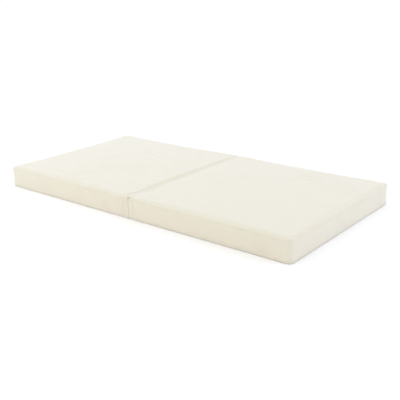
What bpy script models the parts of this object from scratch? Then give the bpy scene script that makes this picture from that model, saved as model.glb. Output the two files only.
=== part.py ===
"""Bi-fold memory foam mattress: two foam panels in zipped fabric covers, joined by a fabric hinge.

Metres, +Z up. X runs along the flat mattress from the head panel (-X) to the foot panel (+X), Y across it.
The origin is the centre of the underside. The fold is the line x = 0, along Y, just above the top surface:
the foot panel swings up and over, so that the two sleeping surfaces meet.
"""

import math

import bmesh
import bpy
from mathutils import Matrix, Vector

# ---- driving dimensions of the flat mattress ----
LENGTH = 1.905
WIDTH = 0.974
THICKNESS = 0.118
FOLD_GAP = 0.002            # between the two panels' end walls
CORNER_RADIUS = 0.026       # the panels' corners, seen from above
TOP_EDGE_RADIUS = 0.012
BOTTOM_EDGE_RADIUS = 0.008
CLEARANCE = 0.0004          # between pieces that touch

# ---- fabrics and foams ----
TOP_FABRIC = 0.003          # velour bonded to a thin wadding
BORDER_FABRIC = 0.002
BASE_FABRIC = 0.0012
SOCK_FABRIC = 0.0008
MEMORY_FOAM = 0.040
SOCK_BOTTOM_RADIUS = 0.006
FOAM_BOTTOM_RADIUS = 0.0048

# ---- seams ----
SEAM_RADIUS = 0.001
SEAM_GAP = 2 * SEAM_RADIUS + 2 * 0.0003     # room for the seam's thread between two pieces of fabric
TOP_SKIRT = 0.014           # how far the top panel turns down the side
BASE_SKIRT = 0.012          # how far the base panel turns up the side
FOLD_SEAM = 0.035           # from the fold to the upright seams in the border
STITCH_RADIUS = 0.0004

# ---- fabric hinge, in the valley between the two top edges ----
HINGE_THICKNESS = 0.001
HINGE_RADIUS = TOP_EDGE_RADIUS + CLEARANCE + HINGE_THICKNESS / 2    # about the centre of an edge's curve
HINGE_TOP_ANGLE = math.radians(45)
HINGE_LOW_ANGLE = math.radians(20)
HINGE_DIP = 0.0006          # of the tape at the fold, below its stretches on the two edges
HINGE_STITCH_ANGLE = math.radians(54)
HINGE_LENGTH = WIDTH - 2 * CORNER_RADIUS

# ---- zip in the back border of each panel ----
ZIP_HEIGHT = 0.038          # its middle, above the floor
ZIP_LENGTH = 0.800
ZIP_WINDOW = 0.012          # height of the opening in the border
ZIP_FROM_FOLD = 0.060       # from the fold to the near end of the opening
TAPE_THICKNESS = 0.0006
TAPE_DEPTH = 0.0014         # of the tape's back face, behind the border's face
SLIT = 0.0016               # between the two tapes and the two rows of teeth
TEETH_WIDTH = 0.0013
TEETH_BACK = 0.0005         # behind the border's face
TEETH_FRONT = 0.0007        # in front of it
END_TAB = 0.012
STOP = 0.003

SLIDER_LENGTH = 0.010
SLIDER_WIDTH = 0.008
SLIDER_PLATE = 0.0009
SLIDER_FRONT = 0.0010       # from the border's face to the slider's front plate
SLIDER_BACK = 0.0017        # from the border's face to its back plate
SLIDER_BACK_WIDTH = 0.007
SLIDER_CORNER = 0.0015
SLIDER_POST = 0.0008        # width of the post between the two rows of teeth
POST_LENGTH = 0.0015
POST_INSET = 0.001          # of the post's middle, from the slider's nose
BRIDGE_RADIUS = 0.0005
BRIDGE_RISE = 0.0022        # of the bridge's bar, above the front plate
BRIDGE_SPAN = 0.0066
PULL_EYE_RADIUS = 0.0014
PULL_HOLE_RADIUS = 0.0008
PULL_EYE_LENGTH = 0.0040
PULL_WIDTH = 0.0060
PULL_LENGTH = 0.022
PULL_THICKNESS = 0.0010

LABEL_WIDTH = 0.045
LABEL_HEIGHT = 0.050
LABEL_THICKNESS = 0.0004

CORNER_SEGMENTS = 6
EDGE_SEGMENTS = 4

# ---- sizes that follow ----
TOP = THICKNESS
BACK = WIDTH / 2                                    # y of the back border's face
SOCK_INSET = TOP_FABRIC + CLEARANCE
FOAM_INSET = SOCK_INSET + SOCK_FABRIC + CLEARANCE
SOCK_FLOOR = BASE_FABRIC + CLEARANCE
FOAM_FLOOR = SOCK_FLOOR + SOCK_FABRIC + CLEARANCE
FOAM_TOP = TOP - FOAM_INSET
SIDES = {"head": -1, "foot": 1}


def material(name, colour, roughness, metallic=0.0):
    """A plain Principled material, made once."""
    made = bpy.data.materials.get(name) or bpy.data.materials.new(name)
    made.use_nodes = True
    shader = made.node_tree.nodes["Principled BSDF"]
    shader.inputs["Base Color"].default_value = (*colour, 1)
    shader.inputs["Roughness"].default_value = roughness
    shader.inputs["Metallic"].default_value = metallic
    return made


CREAM_VELOUR = material("cream_velour", (0.86, 0.84, 0.75), 0.9)
CREAM_BORDER = material("cream_border", (0.82, 0.78, 0.67), 0.9)
BASE_CLOTH = material("base_cloth", (0.80, 0.77, 0.68), 0.95)
SEAM_THREAD = material("seam_thread", (0.80, 0.77, 0.67), 0.8)
SOCK_KNIT = material("sock_knit", (0.88, 0.88, 0.86), 0.95)
MEMORY_BLOCK = material("memory_foam", (0.85, 0.80, 0.62), 0.95)
SUPPORT_BLOCK = material("support_foam", (0.90, 0.89, 0.84), 0.95)
ZIP_TAPE = material("zip_tape", (0.84, 0.81, 0.72), 0.85)
ZIP_NYLON = material("zip_nylon", (0.86, 0.84, 0.78), 0.45)
ZIP_METAL = material("zip_metal", (0.75, 0.74, 0.71), 0.3, 1.0)
LABEL_SATIN = material("label_satin", (0.90, 0.90, 0.90), 0.5)


def collection(name, shown=True):
    """A collection in the scene, made once. One that isn't shown holds cutters."""
    made = bpy.data.collections.get(name)
    if made is None:
        made = bpy.data.collections.new(name)
        bpy.context.scene.collection.children.link(made)
        made.hide_render = not shown
    return made


def add_object(name, data, finish, group="folding_mattress"):
    """Links an object of this mesh or curve, with its material."""
    obj = bpy.data.objects.new(name, data)
    collection(group).objects.link(obj)
    data.materials.append(finish)
    return obj


def mesh_object(name, bm, finish):
    """An object from a bmesh, shaded smooth with sharp edges kept."""
    bmesh.ops.recalc_face_normals(bm, faces=bm.faces)
    mesh = bpy.data.meshes.new(name)
    bm.to_mesh(mesh)
    bm.free()
    mesh.shade_smooth()
    mesh.set_sharp_from_angle(angle=math.radians(40))
    return add_object(name, mesh, finish)


def span(side, near, far):
    """Lowest and highest x of a stretch from near to far from the fold, on that side of it."""
    return tuple(sorted((side * near, side * far)))


def box_bmesh(low, high):
    """A box between two corners."""
    bm = bmesh.new()
    size = Vector(high) - Vector(low)
    middle = (Vector(high) + Vector(low)) / 2
    bmesh.ops.create_cube(bm, size=1, matrix=Matrix.Translation(middle) @ Matrix.Diagonal((*size, 1)))
    return bm


def round_edges(bm, radius, chosen, segments):
    """Rounds the edges that chosen(edge) picks."""
    edges = [e for e in bm.edges if chosen(e)]
    bmesh.ops.bevel(bm, geom=edges, offset=radius, segments=segments, profile=0.5, affect="EDGES")


def rounded_block(low, high, corner, top=0.0, bottom=0.0):
    """A box with round upright corners, and round edges at its top and bottom."""
    bm = box_bmesh(low, high)
    near = 1e-5

    def rim(height):
        def chosen(edge):
            level = all(abs(v.co.z - height) < near for v in edge.verts)
            return level and any(abs(f.normal.z) < 0.5 for f in edge.link_faces)

        return chosen

    round_edges(bm, corner, lambda e: abs(e.verts[0].co.z - e.verts[1].co.z) > near, CORNER_SEGMENTS)
    for radius, height in ((top, high[2]), (bottom, low[2])):
        if radius:
            bm.normal_update()
            round_edges(bm, radius, rim(height), EDGE_SEGMENTS)
    bm.normal_update()
    return bm


def open_side(bm, direction):
    """Removes the flat face that looks this way, so that the block becomes an open shell."""
    towards = Vector(direction)
    faces = [f for f in bm.faces if f.normal.dot(towards) > 0.999]
    widest = max(faces, key=lambda f: f.calc_area())
    bmesh.ops.delete(bm, geom=[widest], context="FACES_ONLY")
    loose = [v for v in bm.verts if not v.link_faces]
    bmesh.ops.delete(bm, geom=loose, context="VERTS")
    return bm


def thicken(obj, thickness):
    """Gives an open shell its fabric's thickness, inwards."""
    shell = obj.modifiers.new("fabric", "SOLIDIFY")
    shell.thickness = thickness
    shell.offset = -1
    shell.use_even_offset = True
    return obj


def panel_corners(side, inset, floor, ceiling):
    """Opposite corners of a panel's own box, drawn in by inset all round."""
    x0, x1 = span(side, FOLD_GAP / 2 + inset, LENGTH / 2 - inset)
    return (x0, -BACK + inset, floor), (x1, BACK - inset, ceiling)


def arc(centre, radius, start, end, segments):
    """Points along an arc, from one angle to the other, both ends included."""
    turn = [start + (end - start) * i / segments for i in range(segments + 1)]
    return [(centre[0] + radius * math.cos(a), centre[1] + radius * math.sin(a)) for a in turn]


def panel_outline(side, inset):
    """The panel's outline from above, as a closed run of points, drawn in by inset."""
    (x0, y0, _), (x1, y1, _) = panel_corners(side, inset, 0, TOP)
    r = CORNER_RADIUS - inset
    quarter = math.pi / 2
    middles = [(x1 - r, y0 + r), (x1 - r, y1 - r), (x0 + r, y1 - r), (x0 + r, y0 + r)]
    points = []
    for i, middle in enumerate(middles):
        points += arc(middle, r, (i - 1) * quarter, i * quarter, CORNER_SEGMENTS)
    return points


def ribbon(name, points, z0, z1, finish):
    """An upright strip of border fabric along an open run of points, with the outside on its right."""
    bm = bmesh.new()
    low = [bm.verts.new((x, y, z0)) for x, y in points]
    high = [bm.verts.new((x, y, z1)) for x, y in points]
    for i in range(len(points) - 1):
        bm.faces.new((low[i], low[i + 1], high[i + 1], high[i]))
    mesh = bpy.data.meshes.new(name)
    bm.to_mesh(mesh)
    bm.free()
    mesh.shade_smooth()
    mesh.set_sharp_from_angle(angle=math.radians(40))
    return thicken(add_object(name, mesh, finish), BORDER_FABRIC)


def thread(name, run, radius, finish, closed=False):
    """Thread or wire along a run of points, as a round tube."""
    curve = bpy.data.curves.new(name, "CURVE")
    curve.dimensions = "3D"
    curve.bevel_depth = radius
    curve.bevel_resolution = 2
    curve.use_fill_caps = not closed
    spline = curve.splines.new("POLY")
    spline.points.add(len(run) - 1)
    for point, place in zip(spline.points, run):
        point.co = (*place, 1)
    spline.use_cyclic_u = closed
    return add_object(name, curve, finish)


def as_mesh(obj):
    """Turns a curve object into a closed mesh object of the same name."""
    bpy.context.view_layer.update()
    graph = bpy.context.evaluated_depsgraph_get()
    mesh = bpy.data.meshes.new_from_object(obj.evaluated_get(graph))
    name, place, finish = obj.name, obj.matrix_world.copy(), obj.data.materials[0]
    bpy.data.objects.remove(obj)
    bm = bmesh.new()
    bm.from_mesh(mesh)
    bmesh.ops.remove_doubles(bm, verts=bm.verts, dist=1e-6)
    bpy.data.meshes.remove(mesh)
    made = mesh_object(name, bm, finish)
    made.matrix_world = place
    return made


def boolean(obj, other, operation):
    """Cuts other from obj, or joins it to obj. The other object is kept as a hidden cutter."""
    for group in list(other.users_collection):
        group.objects.unlink(other)
    collection("cutters", shown=False).objects.link(other)
    other.hide_render = True
    other.display_type = "WIRE"
    step = obj.modifiers.new(other.name, "BOOLEAN")
    step.operation = operation
    step.object = other
    return obj


def box_object(name, low, high, finish):
    """A plain box."""
    return mesh_object(name, box_bmesh(low, high), finish)


# ---- foam core ----


def support_foam(name, side):
    """The firm lower layer of the core."""
    low, high = panel_corners(side, FOAM_INSET, FOAM_FLOOR, FOAM_TOP - MEMORY_FOAM - CLEARANCE)
    block = rounded_block(low, high, CORNER_RADIUS - FOAM_INSET, bottom=FOAM_BOTTOM_RADIUS)
    mesh_object(f"{name}_support_foam", block, SUPPORT_BLOCK)


def memory_foam(name, side):
    """The soft upper layer of the core."""
    low, high = panel_corners(side, FOAM_INSET, FOAM_TOP - MEMORY_FOAM, FOAM_TOP)
    block = rounded_block(low, high, CORNER_RADIUS - FOAM_INSET, top=TOP_EDGE_RADIUS - FOAM_INSET)
    mesh_object(f"{name}_memory_foam", block, MEMORY_BLOCK)


def inner_sock(name, side):
    """The thin knitted sock that holds both foam layers. Its end at the fold is open."""
    low, high = panel_corners(side, SOCK_INSET, SOCK_FLOOR, TOP - SOCK_INSET)
    block = rounded_block(
        low, high, CORNER_RADIUS - SOCK_INSET, top=TOP_EDGE_RADIUS - SOCK_INSET, bottom=SOCK_BOTTOM_RADIUS
    )
    thicken(mesh_object(f"{name}_inner_sock", open_side(block, (-side, 0, 0)), SOCK_KNIT), SOCK_FABRIC)


# ---- cover ----


def top_panel(name, side):
    """The sleeping surface, which turns down over the top edge to the top seam."""
    low, high = panel_corners(side, 0, TOP - TOP_SKIRT, TOP)
    block = rounded_block(low, high, CORNER_RADIUS, top=TOP_EDGE_RADIUS)
    thicken(mesh_object(f"{name}_top_panel", open_side(block, (0, 0, -1)), CREAM_VELOUR), TOP_FABRIC)


def base_panel(name, side):
    """The underside, which turns up round the bottom edge to the bottom seam."""
    low, high = panel_corners(side, 0, 0, BASE_SKIRT)
    block = rounded_block(low, high, CORNER_RADIUS, bottom=BOTTOM_EDGE_RADIUS)
    thicken(mesh_object(f"{name}_base_panel", open_side(block, (0, 0, 1)), BASE_CLOTH), BASE_FABRIC)


def border(name, side):
    """The upright sides: one strip round the front, the outer end and the back, and one at the fold."""
    z0, z1 = BASE_SKIRT + SEAM_GAP, TOP - TOP_SKIRT - SEAM_GAP
    r, quarter = CORNER_RADIUS, math.pi / 2
    outer, inner = LENGTH / 2 - r, FOLD_GAP / 2 + r
    main = [(FOLD_SEAM + SEAM_GAP / 2, -BACK)]
    main += arc((outer, -BACK + r), r, -quarter, 0, CORNER_SEGMENTS)
    main += arc((outer, BACK - r), r, 0, quarter, CORNER_SEGMENTS)
    main += [(FOLD_SEAM + SEAM_GAP / 2, BACK)]
    fold = [(FOLD_SEAM - SEAM_GAP / 2, BACK)]
    fold += arc((inner, BACK - r), r, quarter, 2 * quarter, CORNER_SEGMENTS)
    fold += arc((inner, -BACK + r), r, 2 * quarter, 3 * quarter, CORNER_SEGMENTS)
    fold += [(FOLD_SEAM - SEAM_GAP / 2, -BACK)]
    if side < 0:
        main = [(-x, y) for x, y in reversed(main)]
        fold = [(-x, y) for x, y in reversed(fold)]
    strip = ribbon(f"{name}_border", main, z0, z1, CREAM_BORDER)
    ribbon(f"{name}_fold_border", fold, z0, z1, CREAM_BORDER)
    x0, x1 = span(side, ZIP_FROM_FOLD, ZIP_FROM_FOLD + ZIP_LENGTH)
    reach = 0.01
    window = box_object(
        f"{name}_zip_window",
        (x0, BACK - reach, ZIP_HEIGHT - ZIP_WINDOW / 2),
        (x1, BACK + reach, ZIP_HEIGHT + ZIP_WINDOW / 2),
        CREAM_BORDER,
    )
    boolean(strip, window, "DIFFERENCE")


def seams(name, side):
    """The threads that close the cover: top and bottom seams all round, and two upright ones by the fold."""
    outline = panel_outline(side, SEAM_RADIUS)
    levels = {"top": TOP - TOP_SKIRT - SEAM_GAP / 2, "bottom": BASE_SKIRT + SEAM_GAP / 2}
    for place, height in levels.items():
        run = [(x, y, height) for x, y in outline]
        thread(f"{name}_{place}_seam", run, SEAM_RADIUS, SEAM_THREAD, closed=True)
    z0, z1 = BASE_SKIRT + SEAM_GAP, TOP - TOP_SKIRT - SEAM_GAP
    for place, face in (("front", -1), ("back", 1)):
        run = [(side * FOLD_SEAM, face * (BACK - SEAM_RADIUS), z) for z in (z0, z1)]
        thread(f"{name}_{place}_upright_seam", run, SEAM_RADIUS, SEAM_THREAD)


# ---- zip ----


def zip_parts(name, side):
    """Two tapes, two rows of teeth, their stops and the end tabs, in the border's opening."""
    start, end = ZIP_FROM_FOLD + CLEARANCE, ZIP_FROM_FOLD + ZIP_LENGTH - CLEARANCE
    tape_start, tape_end = start + END_TAB + CLEARANCE, end - END_TAB - CLEARANCE
    teeth_start, teeth_end = tape_start + STOP + CLEARANCE, tape_end - STOP - CLEARANCE
    half = ZIP_WINDOW / 2 - CLEARANCE

    def piece(label, near, far, y0, y1, w0, w1, finish):
        x0, x1 = span(side, near, far)
        low, high = (x0, BACK + y0, ZIP_HEIGHT + w0), (x1, BACK + y1, ZIP_HEIGHT + w1)
        box_object(f"{name}_{label}", low, high, finish)

    tape_front = -TAPE_DEPTH + TAPE_THICKNESS
    teeth_edge = SLIT / 2 + TEETH_WIDTH
    for row, way in (("upper", 1), ("lower", -1)):
        tape = sorted((way * SLIT / 2, way * half))
        teeth = sorted((way * SLIT / 2, way * teeth_edge))
        piece(f"zip_tape_{row}", tape_start, tape_end, -TAPE_DEPTH, tape_front, *tape, ZIP_TAPE)
        piece(f"zip_teeth_{row}", teeth_start, teeth_end, -TEETH_BACK, TEETH_FRONT, *teeth, ZIP_NYLON)
    stop = (-TEETH_BACK, TEETH_FRONT, -teeth_edge, teeth_edge, ZIP_METAL)
    tab = (-TAPE_DEPTH, -CLEARANCE, -half, half, CREAM_BORDER)
    piece("zip_stop_near", tape_start, tape_start + STOP, *stop)
    piece("zip_stop_far", tape_end - STOP, tape_end, *stop)
    piece("zip_end_tab_near", start, start + END_TAB, *tab)
    piece("zip_end_tab_far", end - END_TAB, end, *tab)
    return teeth_start


def zip_slider(name, side, nearest):
    """The slider at the zip's closed end: two plates, the post between them, and the bridge for the pull."""
    x = side * (nearest + SLIDER_LENGTH / 2 + CLEARANCE)
    half = SLIDER_LENGTH / 2
    front = BACK + SLIDER_FRONT
    back = BACK - SLIDER_BACK
    nose = x - side * (half - POST_INSET)
    plate = box_bmesh(
        (x - half, front, ZIP_HEIGHT - SLIDER_WIDTH / 2),
        (x + half, front + SLIDER_PLATE, ZIP_HEIGHT + SLIDER_WIDTH / 2),
    )
    round_edges(plate, SLIDER_CORNER, lambda e: e.verts[0].co.y != e.verts[1].co.y, EDGE_SEGMENTS)
    slider = mesh_object(f"{name}_zip_slider", plate, ZIP_METAL)
    back_plate = box_object(
        f"{name}_slider_back",
        (x - half, back - SLIDER_PLATE, ZIP_HEIGHT - SLIDER_BACK_WIDTH / 2),
        (x + half, back, ZIP_HEIGHT + SLIDER_BACK_WIDTH / 2),
        ZIP_METAL,
    )
    post = box_object(
        f"{name}_slider_post",
        (nose - POST_LENGTH / 2, back - SLIDER_PLATE / 2, ZIP_HEIGHT - SLIDER_POST / 2),
        (nose + POST_LENGTH / 2, front + SLIDER_PLATE / 2, ZIP_HEIGHT + SLIDER_POST / 2),
        ZIP_METAL,
    )
    foot = front + SLIDER_PLATE / 2
    bar = front + SLIDER_PLATE + BRIDGE_RISE
    reach = BRIDGE_SPAN / 2
    route = [(x - reach, foot), (x - reach, bar), (x + reach, bar), (x + reach, foot)]
    bridge = as_mesh(
        thread(f"{name}_slider_bridge", [(px, py, ZIP_HEIGHT) for px, py in route], BRIDGE_RADIUS, ZIP_METAL)
    )
    for joined in (back_plate, post, bridge):
        boolean(slider, joined, "UNION")
    return x, bar


def zip_pull(name, x, bar):
    """The pull tab, hanging from the bridge's bar by a rolled eye."""
    along_x = Matrix.Rotation(math.radians(90), 4, "Y")
    sides = 20

    def rod(label, radius, length):
        bm = bmesh.new()
        bmesh.ops.create_cone(
            bm, cap_ends=True, segments=sides, radius1=radius, radius2=radius, depth=length,
            matrix=Matrix.Translation((x, bar, ZIP_HEIGHT)) @ along_x,
        )
        return mesh_object(label, bm, ZIP_METAL)

    pull = rod(f"{name}_zip_pull", PULL_EYE_RADIUS, PULL_EYE_LENGTH)
    blade = box_object(
        f"{name}_pull_blade",
        (x - PULL_WIDTH / 2, bar - PULL_THICKNESS / 2, ZIP_HEIGHT - PULL_LENGTH),
        (x + PULL_WIDTH / 2, bar + PULL_THICKNESS / 2, ZIP_HEIGHT - PULL_EYE_RADIUS * 0.8),
        ZIP_METAL,
    )
    boolean(pull, blade, "UNION")
    boolean(pull, rod(f"{name}_pull_hole", PULL_HOLE_RADIUS, 3 * PULL_EYE_LENGTH), "DIFFERENCE")


# ---- hinge and label ----


def hinge_profile():
    """Half of the hinge tape's cross-section, from its edge down to the fold, as (x, z)."""
    middle = (FOLD_GAP / 2 + TOP_EDGE_RADIUS, TOP - TOP_EDGE_RADIUS)
    points = arc(middle, HINGE_RADIUS, math.pi - HINGE_TOP_ANGLE, math.pi - HINGE_LOW_ANGLE, EDGE_SEGMENTS)
    return points + [(0, points[-1][1] - HINGE_DIP)]


def hinge_tape():
    """The fabric hinge: a strip along the fold, dipping into the valley between the two top edges."""
    half = hinge_profile()
    route = [(-x, z) for x, z in half[:-1]] + list(reversed(half))
    bm = bmesh.new()
    rows = [[bm.verts.new((x, y, z)) for x, z in route] for y in (-HINGE_LENGTH / 2, HINGE_LENGTH / 2)]
    for i in range(len(route) - 1):
        bm.faces.new((rows[0][i], rows[0][i + 1], rows[1][i + 1], rows[1][i]))
    mesh = bpy.data.meshes.new("fold_hinge_tape")
    bm.to_mesh(mesh)
    bm.free()
    mesh.shade_smooth()
    tape = thicken(add_object("fold_hinge_tape", mesh, CREAM_BORDER), HINGE_THICKNESS)
    tape.modifiers["fabric"].offset = 0


def hinge_stitching(name, side):
    """The line of stitches that holds the hinge tape's edge to one panel."""
    middle = FOLD_GAP / 2 + TOP_EDGE_RADIUS
    radius = TOP_EDGE_RADIUS + STITCH_RADIUS + 0.0003
    x = side * (middle - radius * math.cos(HINGE_STITCH_ANGLE))
    z = TOP - TOP_EDGE_RADIUS + radius * math.sin(HINGE_STITCH_ANGLE)
    run = [(x, y, z) for y in (-HINGE_LENGTH / 2, HINGE_LENGTH / 2)]
    thread(f"{name}_hinge_stitching", run, STITCH_RADIUS, SEAM_THREAD)


def care_label():
    """A blank fabric label, hanging from the top seam at the back of the head panel."""
    x = -(LENGTH / 2 - CORNER_RADIUS - LABEL_WIDTH)
    z1 = TOP - TOP_SKIRT - SEAM_GAP - CLEARANCE
    face = BACK + CLEARANCE
    box_object(
        "head_care_label",
        (x - LABEL_WIDTH / 2, face, z1 - LABEL_HEIGHT),
        (x + LABEL_WIDTH / 2, face + LABEL_THICKNESS, z1),
        LABEL_SATIN,
    )


def main():
    for obj in list(bpy.data.objects):
        bpy.data.objects.remove(obj)
    for name, side in SIDES.items():
        support_foam(name, side)
        memory_foam(name, side)
        inner_sock(name, side)
        top_panel(name, side)
        base_panel(name, side)
        border(name, side)
        seams(name, side)
        nearest = zip_parts(name, side)
        zip_pull(name, *zip_slider(name, side, nearest))
        hinge_stitching(name, side)
    hinge_tape()
    care_label()


main()
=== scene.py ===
"""Looks of the bi-fold memory foam mattress: two zipped fabric covers over foam, joined by a cloth hinge.

Everything is in metres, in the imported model's frame. Each panel's cover starts as one closed form,
which a cloth simulation swells between its seams. The form is then cut along its seams into the
pieces that the cover is sewn from. A panel is made for the foot side, +X, and mirrored for the head.
"""

import math

import bmesh
import bpy
import numpy as np
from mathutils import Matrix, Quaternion, Vector, noise
from mathutils.bvhtree import BVHTree


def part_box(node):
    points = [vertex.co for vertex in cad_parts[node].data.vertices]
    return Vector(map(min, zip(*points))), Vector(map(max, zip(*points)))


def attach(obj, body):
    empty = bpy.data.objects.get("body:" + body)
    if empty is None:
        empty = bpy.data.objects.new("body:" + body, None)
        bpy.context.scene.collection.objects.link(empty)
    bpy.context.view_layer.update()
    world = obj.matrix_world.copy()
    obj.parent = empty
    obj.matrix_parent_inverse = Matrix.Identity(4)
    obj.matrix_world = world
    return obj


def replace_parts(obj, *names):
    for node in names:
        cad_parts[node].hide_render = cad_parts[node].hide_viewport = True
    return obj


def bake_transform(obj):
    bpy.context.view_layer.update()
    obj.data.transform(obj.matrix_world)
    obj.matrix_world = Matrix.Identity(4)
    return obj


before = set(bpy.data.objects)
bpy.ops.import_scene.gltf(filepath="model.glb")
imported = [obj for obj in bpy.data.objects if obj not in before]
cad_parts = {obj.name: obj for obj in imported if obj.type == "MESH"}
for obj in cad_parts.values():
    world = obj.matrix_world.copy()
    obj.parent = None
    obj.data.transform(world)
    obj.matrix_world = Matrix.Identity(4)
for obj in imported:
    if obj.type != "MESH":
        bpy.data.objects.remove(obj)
scene = bpy.context.scene
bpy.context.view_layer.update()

# ---- places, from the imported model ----
SIDES = {"head": -1, "foot": 1}
CAD_GAP = 0.0004            # that the CAD keeps between neighbours
top_low, top_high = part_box("foot_top_panel")
border_low, border_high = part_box("foot_border")
tab_low, tab_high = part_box("foot_zip_end_tab_near")
FOLD_WALL, OUTER, BACK, TOP = top_low.x, *top_high
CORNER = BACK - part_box("fold_hinge_tape")[1].y
TOP_SEAM = (top_low.z + border_high.z) / 2
BOTTOM_SEAM = (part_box("foot_base_panel")[1].z + border_low.z) / 2
UPRIGHT_SEAM = sum(c.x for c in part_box("foot_front_upright_seam")) / 2
WINDOW_NEAR = tab_low.x - CAD_GAP
WINDOW_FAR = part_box("foot_zip_end_tab_far")[1].x + CAD_GAP
WINDOW_LOW = tab_low.z - CAD_GAP
WINDOW_HIGH = tab_high.z + CAD_GAP
ZIP_HEIGHT = (WINDOW_LOW + WINDOW_HIGH) / 2

# ---- the cover's form ----
TOP_ROLL = 0.013            # how far the top edge's roll reaches in from the side
BASE_ROLL = 0.007
ROLL_END = 0.0030           # above the top seam, where the top edge's roll ends
SPACING = 0.011             # between the form's points, before it is subdivided
ROLL_STEPS = 4
CORNER_STEPS = 3            # in each half of a corner
SIDE_SLACK = 0.0026         # how far the walls start inside their place
TOP_SLACK = 0.0040
SIDE_ROOM = 0.0008          # that the swollen walls leave for their unevenness
TOP_ROOM = 0.0014
SEAM_DEPTH = 0.0015         # of a seam, inside the panel's place
BESIDE_SEAM = 0.0018        # from a seam to where the fabric has rolled out of it
BESIDE_DEPTH = 0.0004       # of the fabric there
HEM = 0.0016                # how far fabric turns in at a seam
FOLD_CORNER = 0.0045        # of the cover at the fold, where its corners are tighter
FOLD_PRESS = 0.0072         # from the fold, within which the cover is pressed against the other panel
SHARPEST = 0.0008           # radius that a fold corner keeps, however far it is drawn in
SHIFT_FADE = 0.028          # over which the outline takes up a fold corner's move along X
WALL_BAND = 0.004           # from the front or back, within which a point is on that wall
WINDOW_HEM = 0.0006
WINDOW_FLAT = 0.004         # the band of fabric round the zip that is sewn flat
TOP_CLOTH = 0.0015          # thicknesses of the cover's fabrics
BORDER_CLOTH = 0.0007
BASE_CLOTH = 0.0009
SIM_FRAMES = 20
INNER_EASE = 0.003          # how far the foam and its sock stand inside their CAD solids
INNER_CORNER = CORNER - 0.008
FOLD_GAP = 0.0001           # from the fold's middle to the nearest fabric


# ---- materials ----


def add(tree, kind, links=(), **values):
    """A shader node, its settings and inputs set by name, its links given as (input, other node, output)."""
    node = tree.nodes.new("ShaderNode" + kind)
    for key, value in values.items():
        name = key.replace("_", " ")
        if name in node.inputs:
            node.inputs[name].default_value = value
        else:
            setattr(node, key, value)
    for socket, other, output in links:
        tree.links.new(other.outputs[output], node.inputs[socket])
    return node


def material(name, **values):
    """A new material, with its node tree, its Principled shader and the link to object coordinates."""
    mat = bpy.data.materials.new(name)
    mat.use_nodes = True
    tree = mat.node_tree
    shader = tree.nodes["Principled BSDF"]
    for key, value in values.items():
        shader.inputs[key.replace("_", " ")].default_value = value
    return mat, tree, shader, ("Vector", add(tree, "TexCoord"), "Object")


def mixed(tree, factor, output, dark, light, low=0.3, high=0.7):
    """A colour that runs from dark to light as the factor goes from low to high."""
    ramp = add(tree, "ValToRGB", [("Fac", factor, output)])
    for stop, place, colour in zip(ramp.color_ramp.elements, (low, high), (dark, light)):
        stop.position = place
        stop.color = (*(min(c, 1) for c in colour), 1)
    return ramp


def speckled(tree, shader, ramp, grain, output, low, high):
    """Darkens and lightens the base colour a little with the grain."""
    speck = add(tree, "MapRange", [("Value", grain, output)], To_Min=low, To_Max=high)
    tone = add(tree, "VectorMath", [(0, ramp, "Color"), (1, speck, "Result")], operation="MULTIPLY")
    tree.links.new(tone.outputs[0], shader.inputs["Base Color"])


def bumpy(tree, shader, grain, output, strength, distance):
    """Takes the surface's small relief from the grain."""
    bump = add(tree, "Bump", [("Height", grain, output)], Strength=strength, Distance=distance)
    tree.links.new(bump.outputs["Normal"], shader.inputs["Normal"])


def velour(name, colour):
    """Brushed velour: a dense pile, which lies a little differently from patch to patch."""
    mat, tree, shader, spot = material(
        name, Roughness=0.95, Sheen_Weight=1.0, Sheen_Roughness=0.4, Specular_IOR_Level=0.12
    )
    pile = add(tree, "TexNoise", [spot], Scale=900.0, Detail=3.0, Roughness=0.75)
    lay = add(tree, "TexNoise", [spot], Scale=11.0, Detail=1.5)
    broad = add(tree, "TexNoise", [spot], Scale=2.6, Detail=1.0)
    both = add(tree, "Math", [(0, lay, "Fac"), (1, broad, "Fac")], operation="ADD")
    deep = (colour[0] * 0.98, colour[1] * 0.975, colour[2] * 0.96)
    ramp = mixed(tree, both, 0, deep, tuple(c * 1.01 for c in colour), 0.7, 1.3)
    speckled(tree, shader, ramp, pile, "Fac", 0.84, 1.14)
    brushed = add(tree, "TexNoise", [spot], Scale=240.0, Detail=2.0)
    nap = add(tree, "Math", [(0, pile, "Fac"), (1, brushed, "Fac")], operation="ADD")
    bumpy(tree, shader, nap, 0, 0.8, 0.0009)
    return mat


def woven(name, colour, pitch, roughness=0.85, sheen=0.08, relief=0.0002):
    """Plain woven or knitted cloth, with threads of that pitch both ways."""
    mat, tree, shader, spot = material(
        name, Roughness=roughness, Sheen_Weight=sheen, Sheen_Roughness=0.4, Specular_IOR_Level=0.2
    )
    bands = [
        add(tree, "TexWave", [spot], bands_direction=way, Scale=0.32 / pitch, Distortion=0.6, Detail=2.0)
        for way in ("X", "Y", "Z")
    ]
    pair = add(tree, "Math", [(0, bands[0], "Fac"), (1, bands[1], "Fac")], operation="ADD")
    weave = add(tree, "Math", [(0, pair, 0), (1, bands[2], "Fac")], operation="ADD")
    wear = add(tree, "TexNoise", [spot], Scale=30.0, Detail=4.0)
    ramp = mixed(tree, wear, "Fac", tuple(c * 0.95 for c in colour), colour)
    speckled(tree, shader, ramp, weave, 0, 0.97, 1.01)
    bumpy(tree, shader, weave, 0, 0.5, relief)
    return mat


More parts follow.
